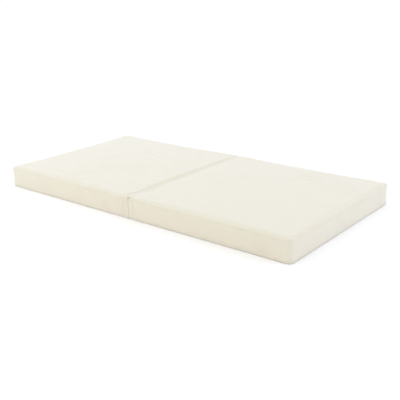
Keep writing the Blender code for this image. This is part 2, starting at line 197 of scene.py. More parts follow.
def foam(name, colour, cell):
    """Open-cell foam: small pits, and a slight mottle in its colour."""
    mat, tree, shader, spot = material(name, Roughness=0.95, Specular_IOR_Level=0.1)
    cells = add(tree, "TexVoronoi", [spot], Scale=1 / cell)
    mottle = add(tree, "TexNoise", [spot], Scale=14.0, Detail=5.0)
    ramp = mixed(tree, mottle, "Fac", tuple(c * 0.93 for c in colour), colour)
    speckled(tree, shader, ramp, cells, "Distance", 0.86, 1.0)
    bumpy(tree, shader, cells, "Distance", 0.7, cell * 0.4)
    return mat


def hard(name, colour, roughness, metallic, grain):
    """Plated metal or moulded nylon, with fine scratches in its gloss."""
    mat, tree, shader, spot = material(name, Metallic=metallic)
    marks = add(tree, "TexNoise", [spot], Scale=1 / grain, Detail=4.0, Roughness=0.7)
    dull, shiny = roughness * 1.3, roughness * 0.7
    rough = add(tree, "MapRange", [("Value", marks, "Fac")], To_Min=shiny, To_Max=dull)
    tree.links.new(rough.outputs["Result"], shader.inputs["Roughness"])
    ramp = mixed(tree, marks, "Fac", tuple(c * 0.88 for c in colour), colour)
    tree.links.new(ramp.outputs["Color"], shader.inputs["Base Color"])
    bumpy(tree, shader, marks, "Fac", 0.25, grain * 0.05)
    return mat


# One fabric: the top's copy of the velour is painted a touch lighter and greener than the border's, as
# painted light on the fabric that faces up.
CREAM_TOP_PAINTED_LIGHTER = velour("cream_velour", (0.736, 0.700, 0.574))
CREAM_SIDE = velour("cream_velour_border", (0.733, 0.688, 0.572))
BASE_KNIT = woven("base_cloth", (0.735, 0.684, 0.573), 0.0016, relief=0.0003)
# The hinge's copy has the top's colour, painted lighter than the border's as painted light on the top.
HINGE_VELOUR_PAINTED_LIGHTER = velour("hinge_velour_painted_lighter", (0.736, 0.700, 0.574))
THREAD = woven("seam_thread", (0.755, 0.705, 0.595), 0.0005, 0.7)
SOCK_KNIT = woven("sock_knit", (0.88, 0.88, 0.86), 0.0012)
TAPE_CLOTH = woven("zip_tape", (0.73, 0.69, 0.59), 0.0008)
LABEL_SATIN = woven("label_satin", (0.82, 0.81, 0.76), 0.0006, 0.45, 0.1, 0.0001)
VISCO_FOAM = foam("memory_foam", (0.86, 0.80, 0.60), 0.0006)
FIRM_FOAM = foam("support_foam", (0.90, 0.89, 0.84), 0.0012)
NICKEL = hard("zip_nickel", (0.66, 0.64, 0.61), 0.28, 1.0, 0.0008)
NYLON = hard("zip_nylon", (0.76, 0.73, 0.64), 0.4, 0.0, 0.0006)


# ---- helpers ----


def linked(name, data):
    """A new object for its data, linked to the scene."""
    obj = bpy.data.objects.new(name, data)
    scene.collection.objects.link(obj)
    return obj


def made(name, verts, faces):
    """An object from points and faces, smooth shaded."""
    mesh = bpy.data.meshes.new(name)
    mesh.from_pydata([tuple(v) for v in verts], [], [tuple(f) for f in faces])
    mesh.update()
    mesh.shade_smooth()
    return linked(name, mesh)


def patches(rows, columns):
    """The faces of a grid of points with that many patches each way."""
    width = columns + 1
    starts = [j * width + i for j in range(rows) for i in range(columns)]
    return [(a, a + 1, a + width + 1, a + width) for a in starts]


def points_of(obj):
    """An object's own points, as an array."""
    co = np.empty(len(obj.data.vertices) * 3)
    obj.data.vertices.foreach_get("co", co)
    return co.reshape(-1, 3)


def place_points(obj, co):
    """Puts an object's own points there."""
    obj.data.vertices.foreach_set("co", np.asarray(co, float).ravel())
    obj.data.update()


def settle(obj):
    """Turns an object's modifiers into its own mesh."""
    graph = bpy.context.evaluated_depsgraph_get()
    final = bpy.data.meshes.new_from_object(obj.evaluated_get(graph))
    first = obj.data
    obj.modifiers.clear()
    obj.data = final
    bpy.data.meshes.remove(first)
    final.shade_smooth()
    return obj


def refine(obj, levels=1):
    """Subdivides a piece into a smooth, finer mesh."""
    obj.modifiers.new("smooth", "SUBSURF").levels = levels
    return settle(obj)


def thicken(obj, thickness):
    """Gives a sheet its thickness, behind the face that shows."""
    cloth = obj.modifiers.new("cloth", "SOLIDIFY")
    cloth.thickness = thickness
    cloth.offset = -1
    return settle(obj)


def dress(obj, finish, body, slot, *nodes):
    """Gives a piece its material and its body, and says which nodes it stands for. Its slot is not used."""
    obj.data.materials.clear()
    obj.data.materials.append(finish)
    if body:
        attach(obj, body)
    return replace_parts(obj, *nodes) if nodes else obj


def wander(points, scale, seed=0.0):
    """Smooth noise from -1 to 1 at each point, with lumps about 1 / scale wide."""
    shift = Vector((seed * 7.3, seed * 3.1, seed * 5.7))
    return np.array([noise.noise(Vector(p) * scale + shift) for p in points])


def near(distance, reach):
    """1 at no distance, fading to 0 past the reach."""
    return np.exp(-(distance / reach) ** 2)


def threads(name, paths, radius, up, sides=6):
    """Round threads with tapered ends along paths, as (path, point, xyz). up is across every path."""
    paths = np.asarray(paths, float)
    count, steps, _ = paths.shape
    along = np.gradient(paths, axis=1)
    along /= np.linalg.norm(along, axis=2, keepdims=True)
    side = np.cross(along, np.asarray(up, float))
    side /= np.linalg.norm(side, axis=2, keepdims=True)
    over = np.cross(side, along)
    turn = np.arange(sides) * math.tau / sides
    girth = np.full(steps, radius)
    girth[[0, -1]] = radius * 0.45
    spoke = side[:, :, None] * np.cos(turn)[:, None] + over[:, :, None] * np.sin(turn)[:, None]
    verts = (paths[:, :, None] + spoke * girth[:, None, None]).reshape(-1, 3)
    faces = []
    for k in range(count):
        for i in range(steps - 1):
            a, b = (k * steps + i) * sides, (k * steps + i + 1) * sides
            faces += [(a + j, a + (j + 1) % sides, b + (j + 1) % sides, b + j) for j in range(sides)]
        last = (k * steps + steps - 1) * sides
        faces.append(range(k * steps * sides + sides - 1, k * steps * sides - 1, -1))
        faces.append(range(last, last + sides))
    return made(name, verts, faces)


# ---- outlines and closed forms ----


def stops(low, high, marks, spacing):
    """Even stops from low to high that pass through the marks."""
    ends = [low, *sorted(m for m in marks if low < m < high), high]
    out = [low]
    for a, b in zip(ends, ends[1:]):
        count = max(1, round((b - a) / spacing))
        out += [a + (b - a) * (i + 1) / count for i in range(count)]
    return out


class Slab:
    """A rounded rectangle, and the closed form that is lofted from it in rings and grids.

    Its outline is held as core points, facing angles and radii. A point of the outline lies its radius,
    less an inset, from its core point.
    """

    def __init__(self, low, high, half, fold_corner, corner, spacing, marks=()):
        self.half, self.fold_corner, self.start = half, fold_corner, low + fold_corner
        xs = stops(low + fold_corner, high - corner, marks, spacing)
        count = round(2 * (half - corner) / spacing) + 1
        turn = [45 * (i / CORNER_STEPS - 1) for i in range(CORNER_STEPS)]
        sweep = [(0, t) for t in turn] + [(None, 0)] + [(-1, -t) for t in reversed(turn)]

        def run(core, facing, way):
            out = []
            for end, t in sweep:
                chosen = core if end is None else [core[end]]
                out += [(x, y, math.radians(facing + way * t), radius) for x, y, radius in chosen]
            return np.array(out)

        def along(facing):
            ends = [fold_corner] + [corner] * (len(xs) - 1)
            return [(x, facing * (half - radius), radius) for x, radius in zip(xs, ends)]

        def across(x, radius):
            return [(x, y, radius) for y in np.linspace(radius - half, half - radius, count)]

        self.front = run(along(-1), -90, 1)
        self.back = run(along(1), 90, -1)
        self.fold = run(across(xs[0], fold_corner), 180, -1)
        self.outer = run(across(xs[-1], corner), 0, 1)
        self.loop = np.concatenate([self.front[:-1], self.outer[:-1], self.back[:0:-1], self.fold[:0:-1]])
        self.count = len(self.loop)
        self.verts, self.faces, self.tags = [], [], []

    def at(self, run, inset):
        """The outline's points along a run, drawn in by an inset.

        An inset past the fold corner's radius leaves that corner nearly sharp, and moves it in along X.
        """
        x, y, angle, radius = run.T
        shift = max(inset + SHARPEST - self.fold_corner, 0)
        corner_shift = np.where(radius == self.fold_corner, shift, 0)
        x = x + shift * np.clip(1 - (x - self.start) / SHIFT_FADE, 0, 1)
        y = y * (1 - corner_shift / (self.half - radius))
        reach = radius + corner_shift - inset
        return np.stack([x + reach * np.cos(angle), y + reach * np.sin(angle)], 1)

    def ring(self, inset, z):
        """Adds a ring along the outline, drawn in by an inset. Returns its indices."""
        first = len(self.verts)
        self.verts += [(x, y, z) for x, y in self.at(self.loop, inset)]
        return list(range(first, first + self.count))

    def grid(self, inset, z):
        """Adds a grid that fills the outline, drawn in by an inset. Returns its rows of indices."""
        front, back = self.at(self.front, inset), self.at(self.back, inset)
        fold, outer = self.at(self.fold, inset), self.at(self.outer, inset)
        u = ((front - front[0])[:, 0] / (front[-1] - front[0])[0])[None, :, None]
        v = ((fold - fold[0])[:, 1] / (fold[-1] - fold[0])[1])[:, None, None]
        ends = (1 - v) * ((1 - u) * front[0] + u * front[-1]) + v * ((1 - u) * back[0] + u * back[-1])
        flat = (1 - v) * front[None] + v * back[None] + (1 - u) * fold[:, None] + u * outer[:, None] - ends
        first = len(self.verts)
        self.verts += [(x, y, z) for x, y in flat.reshape(-1, 2)]
        return np.arange(first, len(self.verts)).reshape(flat.shape[:2])

    def rim(self, rows):
        """The indices round a grid, in the loop's order."""
        return [*rows[0, :-1], *rows[:-1, -1], *rows[-1, :0:-1], *rows[:0:-1, 0]]

    def band(self, upper, lower, tag):
        """Adds the faces between two rings."""
        for k in range(self.count):
            n = (k + 1) % self.count
            self.faces.append((upper[k], lower[k], lower[n], upper[n]))
            self.tags.append(tag)

    def lid(self, rows, tag, down=False):
        """Adds the faces of a grid."""
        for a, b in zip(rows[:-1], rows[1:]):
            for i in range(len(a) - 1):
                face = (a[i], a[i + 1], b[i + 1], b[i])
                self.faces.append(face[::-1] if down else face)
                self.tags.append(tag)

    def stack(self, layers):
        """Adds a closed form through layers of (inset, height, tag of the band below), from the top down."""
        top, bottom = self.grid(*layers[0][:2]), self.grid(*layers[-1][:2])
        rings = [self.rim(top), *(self.ring(*layer[:2]) for layer in layers[1:-1]), self.rim(bottom)]
        for upper, lower, layer in zip(rings, rings[1:], layers):
            self.band(upper, lower, layer[2])
        self.lid(top, layers[0][2])
        self.lid(bottom, layers[-1][2], down=True)
        self.verts = np.array(self.verts)
        return top, bottom, rings

    def walk(self, inset, spacing):
        """Even places along the outline, drawn in by an inset: their points and outward directions."""
        edge = self.at(self.loop, inset)
        edge = np.vstack([edge, edge[0]])
        angles = np.append(self.loop[:, 2], self.loop[0, 2] + math.tau)
        length = np.concatenate([[0], np.cumsum(np.linalg.norm(np.diff(edge, axis=0), axis=1))])
        count = int(length[-1] / spacing)
        spots = np.arange(count) * length[-1] / count
        x, y, angle = (np.interp(spots, length, values) for values in (*edge.T, angles))
        return np.stack([x, y], 1), np.stack([np.cos(angle), np.sin(angle)], 1)


# ---- the cover ----


def wall_heights():
    """Heights of the wall's rings between the seams, from the top down, with some at the zip's window."""
    marks = (WINDOW_HIGH + WINDOW_FLAT, WINDOW_HIGH, WINDOW_LOW, WINDOW_LOW - WINDOW_FLAT)
    return stops(BOTTOM_SEAM + BESIDE_SEAM, TOP_SEAM - BESIDE_SEAM, marks, SPACING)[::-1]


def cover_form():
    """The cover's closed form for the foot panel, and how firmly each point is held, its seam rings among
    them.
    """
    marks = (UPRIGHT_SEAM - BESIDE_SEAM, UPRIGHT_SEAM, UPRIGHT_SEAM + BESIDE_SEAM)
    marks += (WINDOW_NEAR - WINDOW_FLAT, WINDOW_NEAR, WINDOW_FAR, WINDOW_FAR + WINDOW_FLAT)
    form = Slab(FOLD_WALL, OUTER, BACK, FOLD_CORNER, CORNER, SPACING, marks)
    crown = TOP - TOP_SLACK
    drop = crown - TOP_SEAM - ROLL_END
    layers = [(TOP_ROLL + SIDE_SLACK, crown, "top")]
    for i in range(1, ROLL_STEPS + 1):
        a = math.radians(90) * i / ROLL_STEPS
        layers.append((SIDE_SLACK + TOP_ROLL * (1 - math.sin(a)), crown - drop * (1 - math.cos(a)), "top"))
    layers += [(BESIDE_DEPTH, TOP_SEAM + BESIDE_SEAM, "top"), (SEAM_DEPTH, TOP_SEAM, "wall")]
    heights = wall_heights()
    for z in heights:
        layers.append((BESIDE_DEPTH if z in (heights[0], heights[-1]) else SIDE_SLACK, z, "wall"))
    layers += [(SEAM_DEPTH, BOTTOM_SEAM, "base"), (BESIDE_DEPTH, BOTTOM_SEAM - BESIDE_SEAM, "base")]
    for i in range(ROLL_STEPS):
        a = math.radians(90) * i / ROLL_STEPS
        layers.append((BESIDE_DEPTH + BASE_ROLL * (1 - math.cos(a)), BASE_ROLL * (1 - math.sin(a)), "base"))
    layers.append((BESIDE_DEPTH + BASE_ROLL, 0.0, "base"))
    _, floor, rings = form.stack(layers)
    held = [ring for ring, layer in zip(rings, layers) if abs(layer[1] - TOP_SEAM) <= BESIDE_SEAM + 1e-6]
    held += [ring for ring, layer in zip(rings, layers) if layer[1] <= BOTTOM_SEAM + BESIDE_SEAM + 1e-6]
    hold = np.zeros(len(form.verts))
    hold[[*(i for ring in held for i in ring), *floor.ravel()]] = 1
    co = form.verts
    wall = (co[:, 2] < TOP_SEAM - 0.001) & (co[:, 2] > BOTTOM_SEAM + 0.001)
    wall &= np.abs(co[:, 1]) > BACK - WALL_BAND
    away = np.abs(co[:, 0] - UPRIGHT_SEAM)
    upright = wall & (away < BESIDE_SEAM + 1e-4)
    depth = np.where(away < 1e-4, SEAM_DEPTH, BESIDE_DEPTH)
    co[upright, 1] = np.sign(co[upright, 1]) * (BACK - depth[upright])
    margin = WINDOW_FLAT + 0.0005
    window = wall & (co[:, 1] > 0)
    window &= (co[:, 0] > WINDOW_NEAR - margin) & (co[:, 0] < WINDOW_FAR + margin)
    window &= (co[:, 2] > WINDOW_LOW - margin) & (co[:, 2] < WINDOW_HIGH + margin)
    co[window, 1] = BACK
    hold[upright | window] = 1
    return form, hold


def swell(form, hold, seed):
    """How each point moves when the form swells like a tight cover over foam, in a cloth simulation."""
    start = form.verts
    unrest = np.stack([wander(start, 9, seed + i) for i in range(3)], 1) * (1 - hold)[:, None] * 0.0007
    body = made("form", start + unrest, form.faces)
    group = body.vertex_groups.new(name="held")
    for i in np.nonzero(hold)[0]:
        group.add([int(i)], float(hold[i]), "REPLACE")
    cloth = body.modifiers.new("cloth", "CLOTH")
    settings = cloth.settings
    settings.quality = 5
    settings.mass = 0.3
    settings.tension_stiffness = settings.compression_stiffness = 30
    settings.shear_stiffness = 12
    settings.bending_stiffness = 4
    settings.use_pressure = True
    settings.uniform_pressure_force = 4
    settings.vertex_group_mass = "held"
    settings.shrink_min = -0.006
    settings.effector_weights.gravity = 0
    cloth.point_cache.frame_start, cloth.point_cache.frame_end = 1, SIM_FRAMES
    for step in range(1, SIM_FRAMES + 1):
        scene.frame_set(step)
    settle(body)
    push = points_of(body) - start
    bpy.data.objects.remove(body)
    scene.frame_set(1)
    return evened(push, form.faces)


def evened(push, faces):
    """Each point's movement, evened with its neighbours' so that narrow faces don't turn over."""
    one, other = np.array([(face[i], face[i - 1]) for face in faces for i in range(len(face))]).T
    total, count = np.zeros_like(push), np.zeros(len(push))
    for near_end, far_end in ((one, other), (other, one)):
        np.add.at(total, near_end, push[far_end])
        np.add.at(count, near_end, 1)
    return (push + total / count[:, None]) / 2


def within(co):
    """Keeps points inside the panel's own space."""
    return np.clip(co, (FOLD_GAP, -BACK, 0), (OUTER, BACK, TOP))


def swollen(form, hold, push):
    """The form's points after swelling, kept within their slack and pressed flat at the fold."""
    start = form.verts
    rise = np.clip((start[:, 2] - TOP_SEAM) / (TOP - TOP_SLACK - TOP_SEAM), 0, 1)
    limit = SIDE_SLACK - SIDE_ROOM + (TOP_SLACK - TOP_ROOM - SIDE_SLACK + SIDE_ROOM) * rise
    length = np.linalg.norm(push, axis=1)
    share = limit * np.tanh(length / limit) / np.maximum(length, 1e-9)
    co = start + push * (share * (1 - hold))[:, None]
    co[:, 0] *= np.clip(co[:, 0] / FOLD_PRESS, 0, 1) ** 2
    return within(co)


def cut(name, form, co, side, chosen):
    """The chosen faces as an open piece of fabric whose edges turn in at the seams, mirrored for its side."""
    bm = bmesh.new()
    folded = bm.edges.layers.float.new("crease_edge")
    pinned = bm.verts.layers.float.new("crease_vert")
    verts = {}
    for face in (f for f, keep in zip(form.faces, chosen) if keep):
        for i in face:
            if i not in verts:
                verts[i] = bm.verts.new(co[i])
        bm.faces.new([verts[i] for i in face])
    bm.normal_update()
    rim = [e for e in bm.edges if e.is_boundary]
    inward = {v: v.normal.copy() for e in rim for v in e.verts}
    for edge in rim:
        edge[folded] = 1
    for vert in inward:
        vert[pinned] = float(beside_zip(vert.co, 0.001))
    extruded = bmesh.ops.extrude_edge_only(bm, edges=rim)["geom"]
    for vert in (g for g in extruded if isinstance(g, bmesh.types.BMVert)):
        edge = next(e for e in vert.link_edges if e.other_vert(vert) in inward)
        old = edge.other_vert(vert)
        depth = WINDOW_HEM if beside_zip(old.co, 0.001) else HEM
        vert.co = old.co - inward[old] * depth
    for vert in bm.verts:
        vert.co.x *= side
    if side < 0:
        bmesh.ops.reverse_faces(bm, faces=bm.faces)
    mesh = bpy.data.meshes.new(name)
    bm.to_mesh(mesh)
    bm.free()
    return refine(linked(name, mesh))


def beside_zip(p, margin):
    """Whether a point of the back wall is in the zip's window, or within a margin of it."""
    inside = WINDOW_NEAR - margin < abs(p[0]) < WINDOW_FAR + margin
    return inside and p[1] > BACK - WALL_BAND and WINDOW_LOW - margin < p[2] < WINDOW_HIGH + margin


def off_line(points, start, end):
    """How far points are from a line on the top, and its strength there, which fades at its ends."""
    a, b = np.array(start), np.array(end)
    way = b - a
    t = ((points[:, :2] - a) @ way) / (way @ way)
    nearest = a + np.clip(t, 0, 1)[:, None] * way
    return np.linalg.norm(points[:, :2] - nearest, axis=1), np.clip(1.2 - np.abs(t - 0.5) * 1.2, 0, 1)


# Soft creases in the top, as (start, end, width, depth), with places as (distance from the fold, y).
CREASES = {
    "head": (
        ((0.476, 0.199), (0.341, 0.122), 0.012, 0.0016),
        ((0.440, 0.236), (0.372, 0.214), 0.010, 0.0010),
        ((0.243, -0.223), (0.095, -0.138), 0.012, 0.0016),
        ((0.095, -0.138), (0.040, -0.150), 0.010, 0.0012),
    ),
    "foot": (
        ((0.040, -0.130), (0.090, -0.114), 0.012, 0.0010),
        ((0.560, 0.250), (0.680, 0.300), 0.016, 0.0008),
    ),
}


def calm(points):
    """0 along the seams, so that the pieces which meet there still meet, rising to 1 away from them."""
    wall = (points[:, 2] < TOP_SEAM) & (points[:, 2] > BOTTOM_SEAM)
    upright = np.where(wall, np.abs(points[:, 0]) - UPRIGHT_SEAM, 1)
    share = 1.0
    for away in (points[:, 2] - TOP_SEAM, points[:, 2] - BOTTOM_SEAM, upright):
        share = share * (1 - near(away, 0.004))
    return share


def top_relief(points, name):
    """How far the top fabric rises or dips: broad unevenness, soft creases, and gathers beside its seam."""
    seed = 1.0 if name == "head" else 5.0
    rise = wander(points, 3.5, seed) * 0.0009 + wander(points, 12, seed + 1) * 0.0005
    panel = points * (SIDES[name], 1, 1)
    for start, end, width, depth in CREASES[name]:
        away, strength = off_line(panel, start, end)
        rise += strength * depth * (0.5 * near(away - 2 * width, width) - near(away, width))
    rise += wander(points, 34, seed + 2) * 0.0008 * near(points[:, 2] - TOP_SEAM, 0.009)
    beside_hinge = np.clip((panel[:, 0] - HINGE_REACH - HINGE_MARGIN) / 0.022, 0.1, 1)
    return rise * calm(points) * beside_hinge


def border_relief(points, name):
    """How far the border rises or dips: unevenness and gathers by its seams, calm beside the zip."""
    seed = 2.0 if name == "head" else 6.0
    rise = wander(points, 7, seed) * 0.0007
    for seam in (TOP_SEAM, BOTTOM_SEAM):
        rise += wander(points * (1, 1, 0.3), 30, seed + 1) * 0.0008 * near(points[:, 2] - seam, 0.016)
    panel = np.abs(points[:, 0])
    reach = np.maximum.reduce([
        WINDOW_NEAR - panel, panel - WINDOW_FAR, WINDOW_LOW - points[:, 2], points[:, 2] - WINDOW_HIGH,
    ])
    flat = np.where(points[:, 1] > BACK - 0.01, np.clip((reach - 0.005) / 0.012, 0, 1), 1)
    return rise * flat * calm(points) * np.clip(panel / 0.02, 0.1, 1)


def shape(obj, relief, name):
    """Moves a piece's points along their normals by its relief."""
    co = points_of(obj)
    normal = np.empty(co.size)
    obj.data.vertices.foreach_get("normal", normal)
    moved = co + normal.reshape(-1, 3) * relief(co, name)[:, None]
    side = SIDES[name]
    place_points(obj, within(moved * (side, 1, 1)) * (side, 1, 1))
    return obj


def cover(name):
    """The four pieces of one panel's cover. Returns the top's mesh as it lies, for what is sewn on it."""
    side, body = SIDES[name], f"{name}_panel"
    form, hold = cover_form()
    push = swell(form, hold, side)
    co = swollen(form, hold, push)
    middles = [form.verts[list(f)].mean(axis=0) for f in form.faces]

    def part(label, wanted):
        chosen = [wanted(tag, middle) for tag, middle in zip(form.tags, middles)]
        return cut(f"{name}_{label}", form, co, side, chosen)

    top = shape(part("cover_top", lambda tag, m: tag == "top"), top_relief, name)
    border = part(
        "cover_border",
        lambda tag, m: tag == "wall" and m[0] > UPRIGHT_SEAM and not beside_zip(m, 0),
    )
    fold = part("cover_fold_end", lambda tag, m: tag == "wall" and m[0] < UPRIGHT_SEAM)
    base = part("cover_base", lambda tag, m: tag == "base")
    shape(border, border_relief, name)
    shape(fold, border_relief, name)
    lie = BVHTree.FromPolygons([v.co for v in top.data.vertices], [p.vertices[:] for p in top.data.polygons])
    dress(thicken(top, TOP_CLOTH), CREAM_TOP_PAINTED_LIGHTER, body, "cover_top", f"{name}_top_panel")
    dress(thicken(border, BORDER_CLOTH), CREAM_SIDE, body, "cover_border", f"{name}_border")
    dress(thicken(fold, BORDER_CLOTH), CREAM_SIDE, body, "cover_border", f"{name}_fold_border")
    dress(thicken(base, BASE_CLOTH), BASE_KNIT, body, "cover_base", f"{name}_base_panel")
    return form, lie


# ---- seams ----

STITCH, STITCH_PITCH = 0.0034, 0.0042
STITCH_LIFT = 0.0003        # of a stitch's middle, above the cloth
STITCH_DEPTH = SEAM_DEPTH + 0.0001
THREAD_RADIUS = 0.00035
FINE_LIFT = 0.0002          # of the finer stitches round the zip and along the hinge
FINE_RADIUS = 0.00022
REACH = np.linspace(-0.5, 0.5, 5)   # places along a stitch, in its lengths


def arch(lift, bow):
    """How high a stitch stands along its reach: a lift at its middle, and bow - 1 lifts under at its ends."""
    return lift * (1 - (2 * REACH) ** 2 * bow)


def dashes(spots, out, height):
    """Stitches centred on spots at a height, each pointing to the next spot and arching over the cloth."""
    ahead = np.roll(spots, -1, axis=0) - spots
    ahead /= np.linalg.norm(ahead, axis=1, keepdims=True)
    run = ahead[:, None] * REACH[None, :, None] * STITCH
    flat = spots[:, None] + run + out[:, None] * arch(STITCH_LIFT, 2)[None, :, None]
    return np.concatenate([flat, np.full((*flat.shape[:2], 1), height)], axis=2)


def seam_ring(name, label, form, height):
    """The line of stitches at the bottom of a seam's groove, all round a panel."""
    side = SIDES[name]
    spots, out = form.walk(STITCH_DEPTH, STITCH_PITCH)
    paths = dashes(spots, out, height) * (side, 1, 1)
    up = np.concatenate([out, np.zeros((len(out), 1))], 1)[:, None] * (side, 1, 1)
    ring = threads(f"{name}_{label}_stitches", paths, THREAD_RADIUS, up)
    dress(ring, THREAD, f"{name}_panel", "seam_thread", f"{name}_{label}")


def upright_seam(name, label, way):
    """The stitches of one upright seam beside the fold. way is -1 at the front and 1 at the back."""
    heights = np.arange(BOTTOM_SEAM + 0.004, TOP_SEAM - 0.003, STITCH_PITCH)
    depth = STITCH_DEPTH - arch(STITCH_LIFT, 2)
    x = np.full((len(heights), len(REACH)), SIDES[name] * UPRIGHT_SEAM)
    y = np.broadcast_to(way * (BACK - depth), x.shape)
    z = heights[:, None] + REACH * STITCH
    seam = threads(f"{name}_{label}_stitches", np.stack([x, y, z], 2), THREAD_RADIUS, (0, way, 0))
    dress(seam, THREAD, f"{name}_panel", "seam_thread", f"{name}_{label}")


# ---- foam and its sock ----


def inner_slab(node, spacing):
    """The outline of an inner piece, a little inside its CAD solid, made for the foot side."""
    low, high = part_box(f"foot_{node}")
    near_end, far_end, half = low.x + INNER_EASE, high.x - INNER_EASE, high.y - INNER_EASE
    return Slab(near_end, far_end, half, INNER_CORNER, INNER_CORNER, spacing)


def handed(name, label, verts, faces):
    """A piece of a panel from points and faces made for the foot side, mirrored for the head."""
    side = SIDES[name]
    return made(f"{name}_{label}", np.asarray(verts) * (side, 1, 1), [f[::side] for f in faces])


def rolled(radius, edge, facing, tag):
    """A slab's layers round its edge at a height, from the top down. facing is 1 at the top and -1 below."""
    layers = []
    for i in range(ROLL_STEPS + 1):
        a = math.radians(90) * i / ROLL_STEPS
        layers.append((radius * (1 - math.sin(a)), edge - facing * radius * (1 - math.cos(a)), tag))
    return layers[::facing]


def foam_block(name, node, finish, roll, top_ease):
    """A cut block of foam with softened edges and a slightly uneven skin."""
    low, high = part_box(f"foot_{node}")
    slab = inner_slab(node, 0.035)
    top, bottom = high.z - top_ease, low.z
    sides = [(0, top + (bottom - top) * share, "foam") for share in (0.3, 0.5, 0.7)]
    slab.stack(rolled(roll, top, 1, "foam") + sides + rolled(0.004, bottom, -1, "foam"))
    block = refine(handed(name, f"{node}_block", slab.verts, slab.faces))
    co = points_of(block)
    uneven = np.stack([wander(co, 28, i) for i in range(3)], 1) * 0.0004
    place_points(block, np.clip(co + uneven, (-2, -2, bottom), (2, 2, top)))
    dress(block, finish, f"{name}_panel", node, f"{name}_{node}")


def sock(name):
    """The knitted sock round both foams, open in a slit at the back."""
    slit_near, slit_far, slit_low, slit_high = 0.15, 0.80, 0.030, 0.046
    low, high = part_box("foot_inner_sock")
    slab = inner_slab("inner_sock", 0.018)
    top, bottom = high.z - 0.0026, low.z + 0.0001
    sides = [(0, z, "knit") for z in (0.085, 0.07, 0.055, slit_high, slit_low, 0.018)]
    slab.stack(rolled(0.012, top, 1, "knit") + sides + rolled(0.005, bottom, -1, "knit"))
    faces = []
    for face in slab.faces:
        middle = slab.verts[list(face)].mean(axis=0)
        beside = slit_near < middle[0] < slit_far and slit_low < middle[2] < slit_high
        if not (beside and middle[1] > high.y - 0.005):
            faces.append(face)
    knit = refine(handed(name, "sock", slab.verts, faces))
    co = points_of(knit)
    middle = np.array([SIDES[name] * (low.x + high.x) / 2, 0, (low.z + high.z) / 2])
    away = co - middle
    inward = 0.0004 + 0.0004 * wander(co, 20, 3)[:, None]
    easing = 1 - inward / np.linalg.norm(away, axis=1, keepdims=True)
    place_points(knit, middle + away * easing)
    dress(thicken(knit, 0.0006), SOCK_KNIT, f"{name}_panel", "inner_sock", f"{name}_inner_sock")


# ---- zip ----

TAPE_WIDTH = 0.0125


def strip(xs, profile):
    """A closed strip along X. profile is its section as (y, z) points."""
    verts = np.array([[(x, y, z) for y, z in profile] for x in xs])
    m, n = len(xs), len(profile)
    faces = [
        (i * n + j, i * n + (j + 1) % n, (i + 1) * n + (j + 1) % n, (i + 1) * n + j)
        for i in range(m - 1) for j in range(n)
    ]
    faces += [tuple(range(n))[::-1], tuple(range((m - 1) * n, m * n))]
    return verts.reshape(-1, 3), faces


def zip_tape(name, row, way):
    """One woven tape of the zip, with a bead along its inner edge. It runs on behind the border."""
    low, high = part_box(f"foot_zip_tape_{row}")
    slit = min(abs(low.z - ZIP_HEIGHT), abs(high.z - ZIP_HEIGHT))
    reach = slit + TAPE_WIDTH
    sewn = WINDOW_HIGH + WINDOW_FLAT - ZIP_HEIGHT
    face, rear = high.y - 0.00005, low.y
    sag = 0.0022
    bead = [(face - 0.0002, slit), (face, slit + 0.0003), (face, slit + 0.0010)]
    front = bead + [(face - 0.00012, slit + 0.0014), (face - 0.00012, sewn)]
    front += [(face - sag * 0.35, sewn + 0.0012), (face - sag, reach)]
    back = [(rear - sag, reach), (rear - sag * 0.35, sewn + 0.0012), (rear, sewn), (rear, slit)]
    profile = [(y, ZIP_HEIGHT + way * t) for y, t in front + back]
    if way > 0:
        profile = profile[::-1]
    xs = np.linspace(low.x, high.x, 160)
    tape = handed(name, f"zip_tape_{row}_woven", *strip(xs, profile))
    dress(tape, TAPE_CLOTH, f"{name}_panel", "zip_tape", f"{name}_zip_tape_{row}")


def zip_coil(name, row, way):
    """One row of the zip's teeth, a coil of nylon wire sewn along its tape's edge."""
    low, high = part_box(f"foot_zip_teeth_{row}")
    wire, pitch, turn_steps = 0.00028, 0.0016, 8
    inner = 0.0005
    outer = max(abs(low.z - ZIP_HEIGHT), abs(high.z - ZIP_HEIGHT))
    tall = (outer - inner) / 2 - wire
    deep = (high.y - low.y) / 2 - wire
    count = int((high.x - low.x - 2 * wire) / pitch)
    t = np.arange(count * turn_steps + 1) / turn_steps
    x = low.x + wire + (t + (0.5 if way > 0 else 0)) * pitch * (1 - 0.5 / count)
    y = (low.y + high.y) / 2 + deep * np.cos(t * math.tau)
    z = ZIP_HEIGHT + way * ((inner + outer) / 2 + tall * np.sin(t * math.tau))
    path = np.stack([x * SIDES[name], y, z], 1)[None]
    coil = threads(f"{name}_zip_teeth_{row}_coil", path, wire, (1, 0, 0), sides=5)
    dress(coil, NYLON, f"{name}_panel", "zip_teeth", f"{name}_zip_teeth_{row}")


